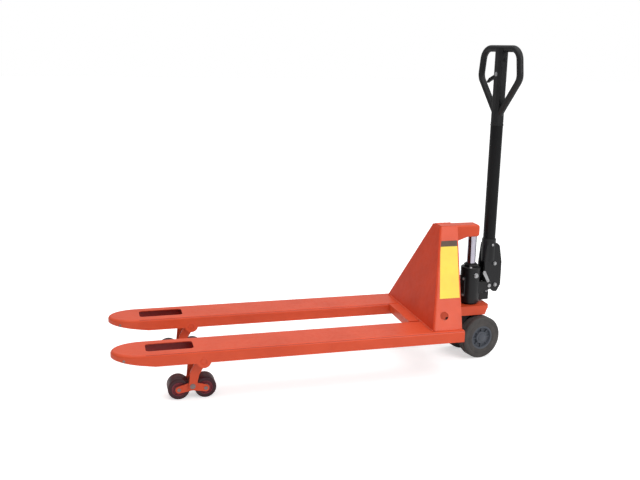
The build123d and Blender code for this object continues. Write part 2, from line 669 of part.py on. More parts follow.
def build_handle():
    roller = (PIVOT_X + ROLLER_ARM * cos(radians(ROLLER_ANGLE)), PIVOT_Z + ROLLER_ARM * sin(radians(ROLLER_ANGLE)))
    with BuildPart() as handle_base:
        for low in (-25, 16.5):
            with BuildSketch(across(0, low + 8.5, 0)):
                with BuildLine():
                    FilletPolyline((64, 480), (55, 392), (55, 318), (56, 284), (92, 281), (106, 268), (124, 266),
                                   (142, 296), (141, 395), (126, 468), (112, 480), close=True,
                                   radius=(8, 14, 14, 14, 10, 8, 8, 12, 24, 14, 8))
                make_face()
            extrude(amount=8.5)
        with BuildSketch(Plane.XY.offset(BAR_Z[0] - 4)):
            with Locations((BAR_X, 0)):
                Circle(COLLAR_R)
        extrude(amount=496 - BAR_Z[0] + 4)
        fillet(handle_base.edges().group_by(Axis.Z)[-1], 3)
        plate_across(((121, 330), (129, 326), (129, 400), (118, 444), (108, 404)), -17, 17)
        with BuildSketch(Plane.XY.offset(BAR_Z[0])):
            with Locations((BAR_X, 0)):
                Circle(BAR_R)
        extrude(amount=200, mode=Mode.SUBTRACT)
        rod_across(PIVOT_X, PIVOT_Z, -60, 60, PIVOT_R + RUN, Mode.SUBTRACT)
        rod_across(*roller, -60, 60, 4, Mode.SUBTRACT)
    place(handle_base, "handle_base", steered=True)

    with BuildPart() as press_roller:
        rod_across(*roller, -15, 15, PRESS_ROLLER_R)
        rod_across(*roller, -16, 16, 4 + RUN, Mode.SUBTRACT)
    place(press_roller, "pressure_roller", steered=True)

    with BuildPart() as base_pins:
        rod_across(*roller, -25, 25, 4)
        for low in (-28.5, 25):
            rod_across(104, 392, low, low + 3.5, 8)
            rod_across(112, 298, low, low + 3.5, 8)
    place(base_pins, "base_pins", steered=True)

    with BuildPart() as tow_bar:
        with BuildSketch(Plane.XY.offset(BAR_Z[0])):
            with Locations((BAR_X, 0)):
                Circle(BAR_R)
                Circle(BAR_R - BAR_WALL, mode=Mode.SUBTRACT)
        extrude(amount=BAR_Z[1] - BAR_Z[0])
    place(tow_bar, "tow_bar", steered=True)

    sweep_plane = Plane(origin=(BAR_X, 0, 0), x_dir=(0, 1, 0), z_dir=(1, 0, 0))
    shoulder = (127.0, 1165.0)
    corner = (112.0, GRIP_TOP)
    with BuildPart() as grip_loop:
        for side in (1, -1):
            with BuildLine(sweep_plane) as path:
                FilletPolyline((0, GRIP_TOP), (side * corner[0], corner[1]), (side * shoulder[0], shoulder[1]),
                               (0, GRIP_BOTTOM), radius=48)
            with BuildSketch(Plane(origin=(BAR_X, 0, GRIP_TOP), z_dir=(0, side, 0))):
                Circle(GRIP_TUBE_R)
            sweep(path=path.wires()[0])
        with BuildSketch(Plane.XY.offset(BAR_Z[1])):
            with Locations((BAR_X, 0)):
                RectangleRounded(2 * BAR_R, 2 * BAR_R, BAR_R - 0.5)
        with BuildSketch(Plane.XY.offset(1040)):
            with Locations((BAR_X, 0)):
                RectangleRounded(44, 44, 14)
        loft()
        with BuildSketch(Plane.XY.offset(1040)):
            with Locations((BAR_X, 0)):
                RectangleRounded(44, 44, 14)
        extrude(amount=GRIP_TOP - 1040)
        with BuildSketch(Plane.XY.offset(BAR_Z[1])):
            with Locations((BAR_X, 0)):
                Circle(BAR_R - BAR_WALL)
        extrude(amount=-SPIGOT_LENGTH)
        with BuildSketch(Plane.XY.offset(BAR_Z[1] - SPIGOT_LENGTH - 1)):
            with Locations((BAR_X, -LEVER_CRANK)):
                Circle(5)
        extrude(amount=LEVER_PIVOT_Z - BAR_Z[1] + SPIGOT_LENGTH, mode=Mode.SUBTRACT)
        with BuildSketch(Plane(origin=(BAR_X - 6, 0, LEVER_PIVOT_Z), x_dir=(0, 1, 0), z_dir=(1, 0, 0))):
            with Locations((2, 0)):
                Rectangle(42, 40)
        extrude(amount=12, mode=Mode.SUBTRACT)
        with BuildSketch(Plane(origin=(BAR_X - 30, 0, LEVER_PIVOT_Z), x_dir=(0, 1, 0), z_dir=(1, 0, 0))):
            Circle(4)
        extrude(amount=60, mode=Mode.SUBTRACT)
    place(grip_loop, "grip_loop", steered=True)

    with BuildPart() as grip_pins:
        with BuildSketch(Plane(origin=(BAR_X - 23, 0, LEVER_PIVOT_Z), x_dir=(0, 1, 0), z_dir=(1, 0, 0))):
            Circle(4)
        extrude(amount=46)
    place(grip_pins, "lever_pin", steered=True)

    with BuildPart() as lever:
        with BuildSketch(Plane(origin=(BAR_X - 5, 0, LEVER_PIVOT_Z), x_dir=(0, 1, 0), z_dir=(1, 0, 0))):
            with BuildLine():
                FilletPolyline((-16, 5), (8, 9), (68, -18), (82, -32), (77, -39), (64, -31), (8, -8), (-16, -5),
                               close=True, radius=(4, 6, 8, 4, 4, 8, 5, 4))
            make_face()
            Circle(4 + RUN, mode=Mode.SUBTRACT)
        extrude(amount=10)
    place(lever, "release_lever", steered=True)

    with BuildPart() as control_rod:
        with BuildSketch(Plane.XY.offset(430)):
            with Locations((BAR_X, -LEVER_CRANK)):
                Circle(4)
        extrude(amount=LEVER_PIVOT_Z - 8 - 430)
    place(control_rod, "control_rod", steered=True)


os.makedirs("parts", exist_ok=True)
build_frame()
build_linkage()
build_pump()
build_handle()
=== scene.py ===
"""Hand pallet truck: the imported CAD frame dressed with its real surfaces, in metres."""
import json
from math import cos, pi, radians, sin

import bmesh
import bpy
from mathutils import Matrix, Vector


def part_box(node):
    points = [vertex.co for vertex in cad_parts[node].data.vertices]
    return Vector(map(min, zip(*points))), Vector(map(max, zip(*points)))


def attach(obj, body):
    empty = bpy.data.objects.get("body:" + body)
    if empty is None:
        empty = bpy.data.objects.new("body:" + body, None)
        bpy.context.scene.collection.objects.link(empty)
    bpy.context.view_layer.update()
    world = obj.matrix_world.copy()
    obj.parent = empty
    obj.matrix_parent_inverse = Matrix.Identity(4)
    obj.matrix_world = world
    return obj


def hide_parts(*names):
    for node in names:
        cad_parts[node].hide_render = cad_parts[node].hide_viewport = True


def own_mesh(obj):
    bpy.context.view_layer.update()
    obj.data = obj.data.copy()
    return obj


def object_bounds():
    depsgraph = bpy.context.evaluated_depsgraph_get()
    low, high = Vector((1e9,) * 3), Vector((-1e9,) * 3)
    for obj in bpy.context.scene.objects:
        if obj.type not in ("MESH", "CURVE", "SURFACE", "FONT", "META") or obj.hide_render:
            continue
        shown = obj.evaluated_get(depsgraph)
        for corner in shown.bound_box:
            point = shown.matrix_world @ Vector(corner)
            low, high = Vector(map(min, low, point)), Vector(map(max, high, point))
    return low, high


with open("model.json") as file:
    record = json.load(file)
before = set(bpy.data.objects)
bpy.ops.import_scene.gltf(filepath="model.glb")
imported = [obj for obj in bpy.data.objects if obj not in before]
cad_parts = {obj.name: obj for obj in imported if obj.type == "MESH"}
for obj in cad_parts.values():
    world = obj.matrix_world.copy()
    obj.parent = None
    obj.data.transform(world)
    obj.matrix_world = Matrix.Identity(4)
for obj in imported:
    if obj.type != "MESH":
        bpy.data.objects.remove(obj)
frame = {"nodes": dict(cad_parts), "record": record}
CAD_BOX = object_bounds()


def middle(node):
    """The middle of a CAD node's box."""
    low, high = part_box(node)
    return (Vector(low) + Vector(high)) / 2


# Where things are, from the frame
SIDES = {"left": -1, "right": 1}
REST_STEER = radians(10)              # the pump unit's turn at rest
TURN = Matrix.Rotation(REST_STEER, 3, "Z")
AHEAD = TURN @ Vector((1, 0, 0))      # the pump unit's own X
ACROSS = TURN @ Vector((0, 1, 0))     # the steer axle's direction
UP = Vector((0, 0, 1))
RAM = middle("cylinder_gland")
BAR = middle("tow_bar")
FORK_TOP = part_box("fork_left")[1][2]
FORK_Y = abs(middle("fork_left").y)
FORK_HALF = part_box("fork_left")[1][1] + FORK_Y
HEAD_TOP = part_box("front_plate")[1][2]
HEAD_BASE_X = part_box("heel_left")[0][0]
HEAD_TOP_X = RAM.x - 0.166
HEAD_BASE_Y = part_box("front_plate")[1][1]
HEAD_TOP_Y = 0.036
SIDE_REAR_X = (RAM.x - 0.146, RAM.x - 0.088)


def steered(ahead, across, height):
    """A point given about the ram in the turned pump unit's own directions."""
    return Vector((RAM.x, RAM.y, 0)) + AHEAD * ahead + ACROSS * across + UP * height


# ------------------------------------------------------------------ materials

class Shader:
    """A new material's node tree, with short ways to add the nodes used here."""

    def __init__(self, name):
        self.mat = bpy.data.materials.new(name)
        self.mat.use_nodes = True
        self.tree = self.mat.node_tree
        self.out = self.tree.nodes["Principled BSDF"].inputs
        self.where = self.add("ShaderNodeTexCoord").outputs["Object"]

    def link(self, value, socket):
        if isinstance(value, bpy.types.NodeSocket):
            self.tree.links.new(value, socket)
        else:
            socket.default_value = value

    def add(self, kind, inputs=(), **settings):
        node = self.tree.nodes.new(kind)
        for key, value in settings.items():
            setattr(node, key, value)
        for key, value in dict(inputs).items():
            self.link(value, node.inputs[key])
        return node

    def noise(self, scale, detail=3.0, roughness=0.55):
        inputs = {"Vector": self.where, "Scale": scale, "Detail": detail, "Roughness": roughness}
        return self.add("ShaderNodeTexNoise", inputs).outputs["Fac"]

    def spread(self, value, low, high, to_low=0.0, to_high=1.0):
        """Stretch a value from one range to another."""
        inputs = {"Value": value, "From Min": low, "From Max": high, "To Min": to_low, "To Max": to_high}
        return self.add("ShaderNodeMapRange", inputs).outputs["Result"]

    def calc(self, operation, first, second=0.0):
        node = self.add("ShaderNodeMath", operation=operation)
        self.link(first, node.inputs[0])
        self.link(second, node.inputs[1])
        return node.outputs["Value"]

    def blend(self, factor, first, second):
        """Mix two colours, each a triple or a socket."""
        node = self.add("ShaderNodeMix", data_type="RGBA")
        self.link(factor, node.inputs[0])
        for socket, value in ((node.inputs[6], first), (node.inputs[7], second)):
            self.link(value if isinstance(value, bpy.types.NodeSocket) else (*value, 1), socket)
        return node.outputs[2]

    def axis(self, name):
        return self.add("ShaderNodeSeparateXYZ", {"Vector": self.where}).outputs[name]

    def facing(self, name):
        """One component of the surface's outward direction."""
        normal = self.add("ShaderNodeNewGeometry").outputs["Normal"]
        return self.add("ShaderNodeSeparateXYZ", {"Vector": normal}).outputs[name]

    def bump(self, height, distance, strength):
        inputs = {"Height": height, "Distance": distance, "Strength": strength}
        self.link(self.add("ShaderNodeBump", inputs).outputs["Normal"], self.out["Normal"])

    def coat(self, weight, roughness):
        self.out["Coat Weight"].default_value = weight
        self.out["Coat Roughness"].default_value = roughness


def under_forks(paint):
    """One inside the forks, behind their skirts and under their top sheet, clear of the tips, where painted
    shade darkens the paint.
    """
    in_skirt, in_sheet, tip = 0.003, 0.0025, 0.12     # the first two lie within the steel's thickness
    across = paint.calc("ABSOLUTE", paint.calc("SUBTRACT", paint.calc("ABSOLUTE", paint.axis("Y")), FORK_Y))
    hollow = paint.calc("LESS_THAN", across, FORK_HALF - in_skirt)
    below = paint.calc("LESS_THAN", paint.axis("Z"), FORK_TOP - in_sheet)
    clear = paint.calc("GREATER_THAN", paint.axis("X"), CAD_BOX[0][0] + tip)
    return paint.calc("MULTIPLY", paint.calc("MULTIPLY", hollow, below), clear)


def behind_front(paint):
    """One on the back of the sloping plate, where painted shade darkens the paint."""
    return paint.calc("GREATER_THAN", paint.facing("X"), 0.5)


def between_sides(paint):
    """One on the faces of the side plates that look at each other, where painted shade darkens the paint."""
    return paint.calc("LESS_THAN", paint.calc("MULTIPLY", paint.facing("Y"), paint.axis("Y")), -0.01)


def painted(name, colour, deep, roughness, coat, inside=None, where=None, gloss=0.32):
    """Sprayed enamel: a faint orange peel, slow changes of tone and small dull scuffs.

    inside is a colour of painted shade for the hollow, unlit surfaces that where() picks out.
    """
    paint = Shader(name)
    tone = paint.blend(paint.spread(paint.noise(7.0, 4.0), 0.3, 0.7), colour, deep)
    if inside:
        # painted shade: the surfaces that where() picks out take the darker inside colour
        tone = paint.blend(where(paint), tone, inside)
    paint.link(tone, paint.out["Base Color"])
    scuffs = paint.noise(55.0, 6.0, 0.7)
    paint.link(paint.spread(scuffs, 0.45, 0.75, roughness, roughness + 0.16), paint.out["Roughness"])
    paint.bump(paint.noise(420.0, 2.0), 0.00012, 0.5)
    paint.out["Specular IOR Level"].default_value = gloss
    paint.coat(coat, 0.2)
    return paint.mat


def steel(name, colour, roughness, marks):
    """Bare or plated steel, with fine turning marks and faint smears."""
    metal = Shader(name)
    metal.out["Metallic"].default_value = 1.0
    smear = metal.noise(60.0, 4.0)
    metal.link(metal.blend(smear, colour, [c * 0.8 for c in colour]), metal.out["Base Color"])
    metal.link(metal.spread(smear, 0.3, 0.7, roughness, roughness + 0.1), metal.out["Roughness"])
    metal.bump(metal.noise(900.0, 2.0), 0.00004, marks)
    return metal.mat


def cast(name, colour, light):
    """Sand-cast iron under enamel: a grainy skin that catches small lights."""
    iron = Shader(name)
    tone = iron.noise(30.0, 5.0)
    iron.link(iron.blend(tone, colour, light), iron.out["Base Color"])
    iron.link(iron.spread(tone, 0.3, 0.7, 0.28, 0.45), iron.out["Roughness"])
    iron.bump(iron.noise(520.0, 5.0, 0.65), 0.0006, 0.5)
    iron.out["Specular IOR Level"].default_value = 0.3
    iron.coat(0.08, 0.2)
    return iron.mat


def moulded(name, colour, light, roughness, grain_scale, grain_depth, coat=0.0):
    """Moulded plastic, rubber or polyurethane with a fine grain and handling marks."""
    plastic = Shader(name)
    tone = plastic.spread(plastic.noise(25.0, 4.0), 0.35, 0.7)
    plastic.link(plastic.blend(tone, colour, light), plastic.out["Base Color"])
    plastic.link(plastic.spread(plastic.noise(120.0, 5.0), 0.3, 0.7, roughness, roughness + 0.15),
                 plastic.out["Roughness"])
    plastic.bump(plastic.noise(grain_scale, 3.0), grain_depth, 0.6)
    plastic.out["Specular IOR Level"].default_value = 0.3
    plastic.coat(coat, 0.15)
    return plastic.mat


def sticker(name, top):
    """A plain yellow sticker, a little faded, with a dark mottled band along its upper edge."""
    band_height = 0.021
    film = Shader(name)
    fade = film.spread(film.noise(18.0, 4.0), 0.35, 0.7)
    yellow = film.blend(fade, (0.93, 0.72, 0.055), (0.90, 0.64, 0.05))
    band = film.calc("GREATER_THAN", film.axis("Z"), top - band_height)
    # the dark band along the sticker's top, mottled at random
    band_mottle = film.spread(film.noise(160.0, 5.0), 0.62, 0.70)
    dark = film.blend(band_mottle, (0.075, 0.03, 0.008), (0.16, 0.09, 0.02))
    film.link(film.blend(band, yellow, dark), film.out["Base Color"])
    film.link(film.spread(film.noise(90.0, 4.0), 0.3, 0.7, 0.34, 0.5), film.out["Roughness"])
    film.bump(film.noise(70.0, 3.0), 0.0003, 0.25)
    return film.mat


ENAMEL = ((0.78, 0.092, 0.030), (0.68, 0.072, 0.021), 0.36, 0.10)     # colour, deeper tone, roughness, coat
# painted shade: the same orange enamel made darker and deeper red for the sloping plate, which faces away
# from the light
SHADED_FRONT_ENAMEL = ((0.72, 0.062, 0.014), (0.60, 0.046, 0.010), 0.42, 0.04)
# painted shade: a dark red for the unlit faces inside the forks
FORK_PAINTED_SHADE = (0.24, 0.006, 0.004)
# painted shade: a near-black red for the hollow inside the head, behind the sloping plate and between the
# side plates
HEAD_PAINTED_SHADE = (0.10, 0.012, 0.006)
ORANGE = painted("orange_enamel", *ENAMEL)
FORK_ORANGE = painted("fork_enamel", *ENAMEL, FORK_PAINTED_SHADE, under_forks)
SHADED_FRONT_ORANGE = painted("shaded_front_enamel", *SHADED_FRONT_ENAMEL, HEAD_PAINTED_SHADE, behind_front, gloss=0.2)
SIDE_ORANGE = painted("side_enamel", *ENAMEL, HEAD_PAINTED_SHADE, between_sides)
BLACK = painted("black_enamel", (0.0035, 0.0035, 0.004), (0.006, 0.006, 0.007), 0.4, 0.03, gloss=0.2)
HUB_GREY = painted("hub_grey", (0.085, 0.095, 0.115), (0.065, 0.072, 0.088), 0.42, 0.1)
CHROME = steel("hard_chrome", (0.60, 0.57, 0.66), 0.1, 0.25)
STEEL = steel("zinc_steel", (0.50, 0.50, 0.51), 0.3, 0.5)
DULL_STEEL = steel("worn_steel", (0.33, 0.26, 0.25), 0.42, 0.6)
SPRING = steel("spring_steel", (0.55, 0.55, 0.57), 0.25, 0.4)
CAST = cast("cast_black", (0.005, 0.005, 0.006), (0.012, 0.012, 0.014))
GRIP = moulded("grip_plastic", (0.005, 0.005, 0.006), (0.010, 0.010, 0.011), 0.42, 900.0, 0.00012, coat=0.1)
TYRE = moulded("tyre_rubber", (0.060, 0.055, 0.054), (0.085, 0.077, 0.073), 0.55, 600.0, 0.0002)
TREAD = moulded("roller_polyurethane", (0.045, 0.010, 0.016), (0.065, 0.018, 0.022), 0.34, 300.0, 0.0001,
                coat=0.15)
CORE = moulded("roller_core", (0.20, 0.030, 0.045), (0.26, 0.05, 0.06), 0.4, 300.0, 0.0001)
LABEL = sticker("yellow_sticker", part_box("label_plates")[1][2])

SLOT_MATERIALS = {
    "orange_paint": ORANGE, "chrome_rod": CHROME, "bright_steel": STEEL, "black_cast": CAST,
    "black_paint": BLACK, "black_grip": GRIP, "grey_hub": HUB_GREY, "steer_rubber": TYRE,
    "roller_tread": TREAD, "yellow_label": LABEL,
}


def pair(stem, value):
    """The same value for a node on the left and for its twin on the right."""
    return {f"{stem}_{word}": value for word in SIDES}


NODE_MATERIALS = {
    **pair("fork", FORK_ORANGE), **pair("heel", FORK_ORANGE), **pair("side_plate", SIDE_ORANGE),
    **pair("entry_roller", TREAD), **pair("roller_axles", DULL_STEEL), **pair("bogie_shaft", DULL_STEEL),
    "front_plate": SHADED_FRONT_ORANGE, "load_frame_shafts": ORANGE, "entry_axles": DULL_STEEL,
}
EASED = {                              # how far each pressed, cut or cast edge is rounded
    **pair("fork", 0.001), **pair("heel", 0.001), **pair("side_plate", 0.0012), **pair("load_frame", 0.0014),
    **pair("bogie_links", 0.001), **pair("push_rod", 0.001), "front_plate": 0.0016, "head_cap": 0.002,
    "cross_member": 0.0014, "thrust_carrier": 0.0018, "rocker_arms": 0.0015, "rod_levers": 0.001,
    "pump_body": 0.0018, "cylinder_gland": 0.001, "filler_plug": 0.0008, "handle_base": 0.0014,
    "base_pins": 0.0008, "tow_bar": 0.0006, "release_lever": 0.0014,
}


def dress_frame():
    """Give every CAD node its material."""
    for entry in frame["record"]["subparts"]:
        name = entry["node"]
        mat = NODE_MATERIALS.get(name, SLOT_MATERIALS[entry["material_slot"]])
        for place in frame["nodes"][name].material_slots:
            place.material = mat


def ease_edges():
    """Round the sharp edges of the CAD nodes, as pressing, cutting and paint leave them."""
    for name, width in EASED.items():
        node = frame["nodes"][name]
        if "custom_normal" in node.data.attributes:
            node.data.attributes.remove(node.data.attributes["custom_normal"])
        node.data.polygons.foreach_set("use_smooth", [True] * len(node.data.polygons))
        join = node.modifiers.new("join", "WELD")
        join.merge_threshold = 1e-5
        flat = node.modifiers.new("flat", "DECIMATE")
        flat.decimate_type = "DISSOLVE"
        flat.angle_limit = radians(0.6)
        ease = node.modifiers.new("ease", "BEVEL")
        ease.width = width
        ease.segments = 3
        ease.limit_method = "ANGLE"
        ease.angle_limit = radians(32)
        node.modifiers.new("shade", "WEIGHTED_NORMAL")


dress_frame()
ease_edges()

# ------------------------------------------------------------------ mesh helpers

def finish_mesh(bm, name, mat, body, smooth=True):
    """Turn a bmesh into a piece that rides on a body and takes its finish from a material slot."""
    bmesh.ops.remove_doubles(bm, verts=bm.verts, dist=1e-6)
    bmesh.ops.recalc_face_normals(bm, faces=bm.faces)
    mesh = bpy.data.meshes.new(name)
    bm.to_mesh(mesh)
    bm.free()
    piece = bpy.data.objects.new(name, mesh)
    bpy.context.scene.collection.objects.link(piece)
    mesh.materials.append(mat)
    mesh.polygons.foreach_set("use_smooth", [smooth] * len(mesh.polygons))
    if smooth:
        mesh.set_sharp_from_angle(angle=radians(40))
    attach(piece, body)
    return piece


def cross_axes(axis):
    """Two directions square to an axis and to each other."""
    axis = Vector(axis).normalized()
    side = axis.orthogonal().normalized()
    return side, axis.cross(side)


def join_rings(bm, rings, closed=False):
    """Skin a list of equal rings of vertices, and cap the ends unless they join up."""
    pairs = list(zip(rings, rings[1:]))
    if closed:
        pairs.append((rings[-1], rings[0]))
    for low, high in pairs:
        for i in range(len(low)):
            j = (i + 1) % len(low)
            bm.faces.new((low[i], low[j], high[j], high[i]))
    if not closed:
        bm.faces.new(rings[0][::-1])
        bm.faces.new(rings[-1])


def lathe(bm, at, axis, outline, steps=96):
    """Turn a closed outline of (distance along the axis, radius) points about the axis."""
    at, axis = Vector(at), Vector(axis).normalized()
    first, second = cross_axes(axis)
    rings = []
    for along, radius in outline:
        angles = (2 * pi * i / steps for i in range(steps))
        centre = at + axis * along
        rings.append([bm.verts.new(centre + radius * (cos(a) * first + sin(a) * second)) for a in angles])
    join_rings(bm, rings, closed=True)


def arc(along, radius, bend, start, end, steps=6):
    """Outline points on a round corner, between two angles in degrees."""
    angles = (radians(start + (end - start) * i / steps) for i in range(steps + 1))
    return [(along + bend * cos(a), radius + bend * sin(a)) for a in angles]


def mirrored(outline):
    """An outline given from the middle of a wheel outwards, completed on its other side."""
    return outline + [(-along, radius) for along, radius in reversed(outline)]


def plate(bm, outline, origin, x_dir, y_dir, depth, edge=0.0004):
    """A plate of a 2-D outline, from its origin plane along x_dir cross y_dir, its far rim eased."""
    origin, x_dir, y_dir = Vector(origin), Vector(x_dir), Vector(y_dir)
    out = x_dir.cross(y_dir).normalized()
    centre = sum((Vector(p) for p in outline), Vector((0, 0))) / len(outline)
    rings = []
    for lift, inset in ((0, 0), (depth - edge, 0), (depth, edge)):
        ring = []
        for p in outline:
            flat = Vector(p) + (centre - Vector(p)).normalized() * inset
            ring.append(bm.verts.new(origin + x_dir * flat.x + y_dir * flat.y + out * lift))
        rings.append(ring)
    join_rings(bm, rings)


def link_outline(length, start_r, end_r, steps=10):
    """The outline of a flat link with round ends, from (0, 0) to (length, 0)."""
    points = []
    for centre, radius, first in ((length, end_r, -90), (0, start_r, 90)):
        for i in range(steps + 1):
            angle = radians(first + 180 * i / steps)
            points.append((centre + radius * cos(angle), radius * sin(angle)))
    return points


def tube(bm, points, radii, steps=12):
    """A round tube through a list of points, with a radius at each."""
    points = [Vector(p) for p in points]
    rings = []
    normal = (points[1] - points[0]).orthogonal()
    for i, (point, radius) in enumerate(zip(points, radii)):
        ahead = (points[min(i + 1, len(points) - 1)] - points[max(i - 1, 0)]).normalized()
        normal = (normal - ahead * normal.dot(ahead)).normalized()
        second = ahead.cross(normal)
        angles = (2 * pi * k / steps for k in range(steps))
        rings.append([bm.verts.new(point + radius * (cos(a) * normal + sin(a) * second)) for a in angles])
    join_rings(bm, rings)


def weld_bead(bm, start, end, radius, ripple=0.0042):
    """A hand-laid bead: overlapping ripples with a slight wander, tapering at both ends."""
    start, end = Vector(start), Vector(end)
    length = (end - start).length
    along = (end - start).normalized()
    side, up = cross_axes(along)
    count = max(6, int(length / (ripple / 3)))
    fade, blunt = 0.006, 0.002         # the length of each tapered end, and how blunt it is
    points, radii = [], []
    for i in range(count + 1):
        s = length * i / count
        wander = radius * (0.10 * sin(s * 310 + start.x * 50) + 0.06 * sin(s * 911))
        points.append(start + along * s + side * wander + up * wander * 0.5)
        taper = min(1.0, (s + blunt) / fade, (length - s + blunt) / fade)
        radii.append(radius * (0.86 + 0.16 * (1 - (s / ripple) % 1.0) ** 0.5) * max(0.3, taper))
    tube(bm, points, radii, 10)


def hex_bolt(bm, at, axis, across, height):
    """A hexagon head with a chamfered crown, on a washer."""
    at, axis = Vector(at), Vector(axis).normalized()
    first, second = cross_axes(axis)
    washer = 0.0012
    outline = [(0, across * 0.2), (0, across * 0.72), (washer * 0.8, across * 0.73), (washer, across * 0.7)]
    lathe(bm, at, axis, outline + [(washer, across * 0.2)], 28)
    corner = across / 2 / cos(pi / 6)
    rings = []
    for lift, r in ((washer, corner), (washer + height * 0.82, corner), (washer + height, corner * 0.86)):
        angles = (pi / 3 * k for k in range(6))
        centre = at + axis * lift
        rings.append([bm.verts.new(centre + r * (cos(a) * first + sin(a) * second)) for a in angles])
    join_rings(bm, rings)


def dome(bm, at, axis, radius, height, steps=32):
    """A low domed head, as on a rivet, screw or cap."""
    outline = [(0, 0.0002), (0, radius), (height * 0.35, radius * 0.98), (height * 0.7, radius * 0.8)]
    lathe(bm, at, axis, outline + [(height * 0.93, radius * 0.45), (height, 0.0002)], steps)


def ring_piece(name, body, mat, at, axis, inner, outer, length, steps=64):
    """A collar or ring with eased rims, starting at a point and running along an axis."""
    ease = min(0.0006, length / 3, (outer - inner) / 3)
    bm = bmesh.new()
    outline = [(0, inner), (0, outer - ease), (ease, outer), (length - ease, outer)]
    lathe(bm, at, axis, outline + [(length, outer - ease), (length, inner)], steps)
    return finish_mesh(bm, name, mat, body)


# ------------------------------------------------------------------ wheels and rollers

def steer_wheels():
    """Solid rubber tyres on ribbed hubs, each with its bearing and a dust cap on the outer side."""
    half, rim, tread, shoulder = 0.025, 0.050, 0.090, 0.009
    web, ribs, rib_depth = 0.0105, 8, 0.0075
    rib = [(0.0255, -0.002), (0.0415, -0.002), (0.0415, 0.002), (0.0255, 0.002)]
    for word, side in SIDES.items():
        centre = middle(f"steer_tyre_{word}")
        out = ACROSS * side
        body = f"steer_wheel_{word}"

        bm = bmesh.new()
        outline = [(0.0, tread - 0.0005), (0.001, tread)]
        outline += arc(half - shoulder, tread - shoulder, shoulder, 90, 0)
        outline += [(half, 0.0715), (half - 0.0008, 0.070), (half, 0.0685)]
        outline += [(half, rim + 0.003), (half - 0.002, rim)]
        lathe(bm, centre, out, mirrored(outline)[1:], 128)
        tyre = finish_mesh(bm, f"tyre_{word}", TYRE, body)
        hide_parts(f"steer_tyre_{word}")

        bm = bmesh.new()
        outline = [(half - 0.002, rim), (half - 0.002, 0.0445), (half - 0.003, 0.0435), (0.0125, 0.0410)]
        outline += [(0.0110, 0.0280), (half - 0.005, 0.0255), (half - 0.004, 0.0245), (half - 0.004, 0.0175)]
        outline += [(0.0165, 0.0165), (0.0165, 0.0101)]
        lathe(bm, centre, out, mirrored(outline), 96)
        for face in (1, -1):
            for k in range(ribs):
                spoke = Matrix.Rotation(2 * pi * k / ribs, 3, out) @ UP
                plate(bm, rib, centre + out * face * web, spoke, out.cross(spoke) * face, rib_depth)
        hub = finish_mesh(bm, f"hub_{word}", HUB_GREY, body)
        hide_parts(f"steer_hub_{word}")

        bm = bmesh.new()
        dome(bm, centre + out * (half - 0.0045), out, radius=0.0172, height=0.004, steps=48)
        finish_mesh(bm, f"dust_cap_{word}", HUB_GREY, body)
        ring_piece(f"steer_bearing_{word}", body, STEEL, centre - out * 0.0205, out,
                   inner=0.0103, outer=0.0163, length=0.004)


def load_rollers():
    """Tandem polyurethane rollers on cast cores with sealed bearings."""
    half, tread, bond, shoulder = 0.032, 0.040, 0.026, 0.005
    across = Vector((0, 1, 0))
    for word in SIDES:
        for end in ("front", "rear"):
            node = f"load_roller_{word}_{end}"
            centre = middle(node)
            bm = bmesh.new()
            outline = arc(half - shoulder, tread - shoulder, shoulder, 90, 0)
            outline += [(half, bond + 0.004), (half - 0.0015, bond)]
            lathe(bm, centre, across, mirrored(outline), 96)
            band = finish_mesh(bm, f"{node}_tread", TREAD, node)
            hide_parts(node)
            bm = bmesh.new()
            outline = [(half - 0.0015, bond), (half - 0.002, 0.0238), (half - 0.005, 0.0225)]
            outline += [(half - 0.005, 0.0172), (half - 0.0012, 0.0162), (half - 0.0012, 0.0150)]
            outline += [(half - 0.003, 0.0148), (half - 0.003, 0.0072)]
            lathe(bm, centre, across, mirrored(outline), 64)
            finish_mesh(bm, f"{node}_core", CORE, node)
            for face in (1, -1):
                place = "far" if face > 0 else "near"
                ring_piece(f"{node}_bearing_{place}", node, DULL_STEEL,
                           centre + across * face * (half - 0.003), across * face,
                           inner=0.0095, outer=0.0146, length=0.0016, steps=48)


def entry_rollers():
    """Small crowned rollers under the fork tips, with two shallow grooves."""
    half, tread, bore = 0.030, 0.016, 0.0052
    for word in SIDES:
        node = f"entry_roller_{word}"
        outline = [(0.0, tread), (0.009, tread - 0.0002)]
        outline += [(0.0095, tread - 0.0014), (0.0115, tread - 0.0014), (0.012, tread - 0.0003)]
        outline += arc(half - 0.003, tread - 0.0035, 0.003, 90, 0) + [(half, bore)]
        bm = bmesh.new()
        lathe(bm, middle(node), (0, 1, 0), mirrored(outline)[1:], 64)
        roller = finish_mesh(bm, f"tip_roller_{word}", TREAD, node)
        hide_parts(node)


# ------------------------------------------------------------------ fork frame

def frame_welds():
    """The beads that join the sloping plate, the side plates, the cap, the forks and the cross member."""
    lap = 0.0065                       # the sloping plate's thickness, level
    cap_half = 0.031
    light, medium, heavy = 0.0024, 0.0026, 0.003
    low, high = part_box("cross_member")
    bm = bmesh.new()
    base_z, top_z = FORK_TOP + 0.001, HEAD_TOP - 0.001
    for side in SIDES.values():
        base_y, top_y, cap_y = side * HEAD_BASE_Y, side * HEAD_TOP_Y, side * cap_half
        weld_bead(bm, (HEAD_BASE_X + lap, base_y, base_z + 0.001), (HEAD_TOP_X + lap, top_y, top_z), medium)
        weld_bead(bm, (HEAD_BASE_X + lap, base_y, base_z), (SIDE_REAR_X[0] - 0.002, base_y, base_z), heavy)
        weld_bead(bm, (HEAD_TOP_X + lap, cap_y, top_z), (SIDE_REAR_X[1], cap_y, top_z), medium)
        weld_bead(bm, (low.x, side * high.y, FORK_TOP), (high.x, side * high.y, FORK_TOP), light)
    foot_x = HEAD_BASE_X - 0.0005
    weld_bead(bm, (foot_x, -HEAD_BASE_Y, base_z), (foot_x, HEAD_BASE_Y, base_z), heavy)
    finish_mesh(bm, "frame_welds", ORANGE, "fork_frame")


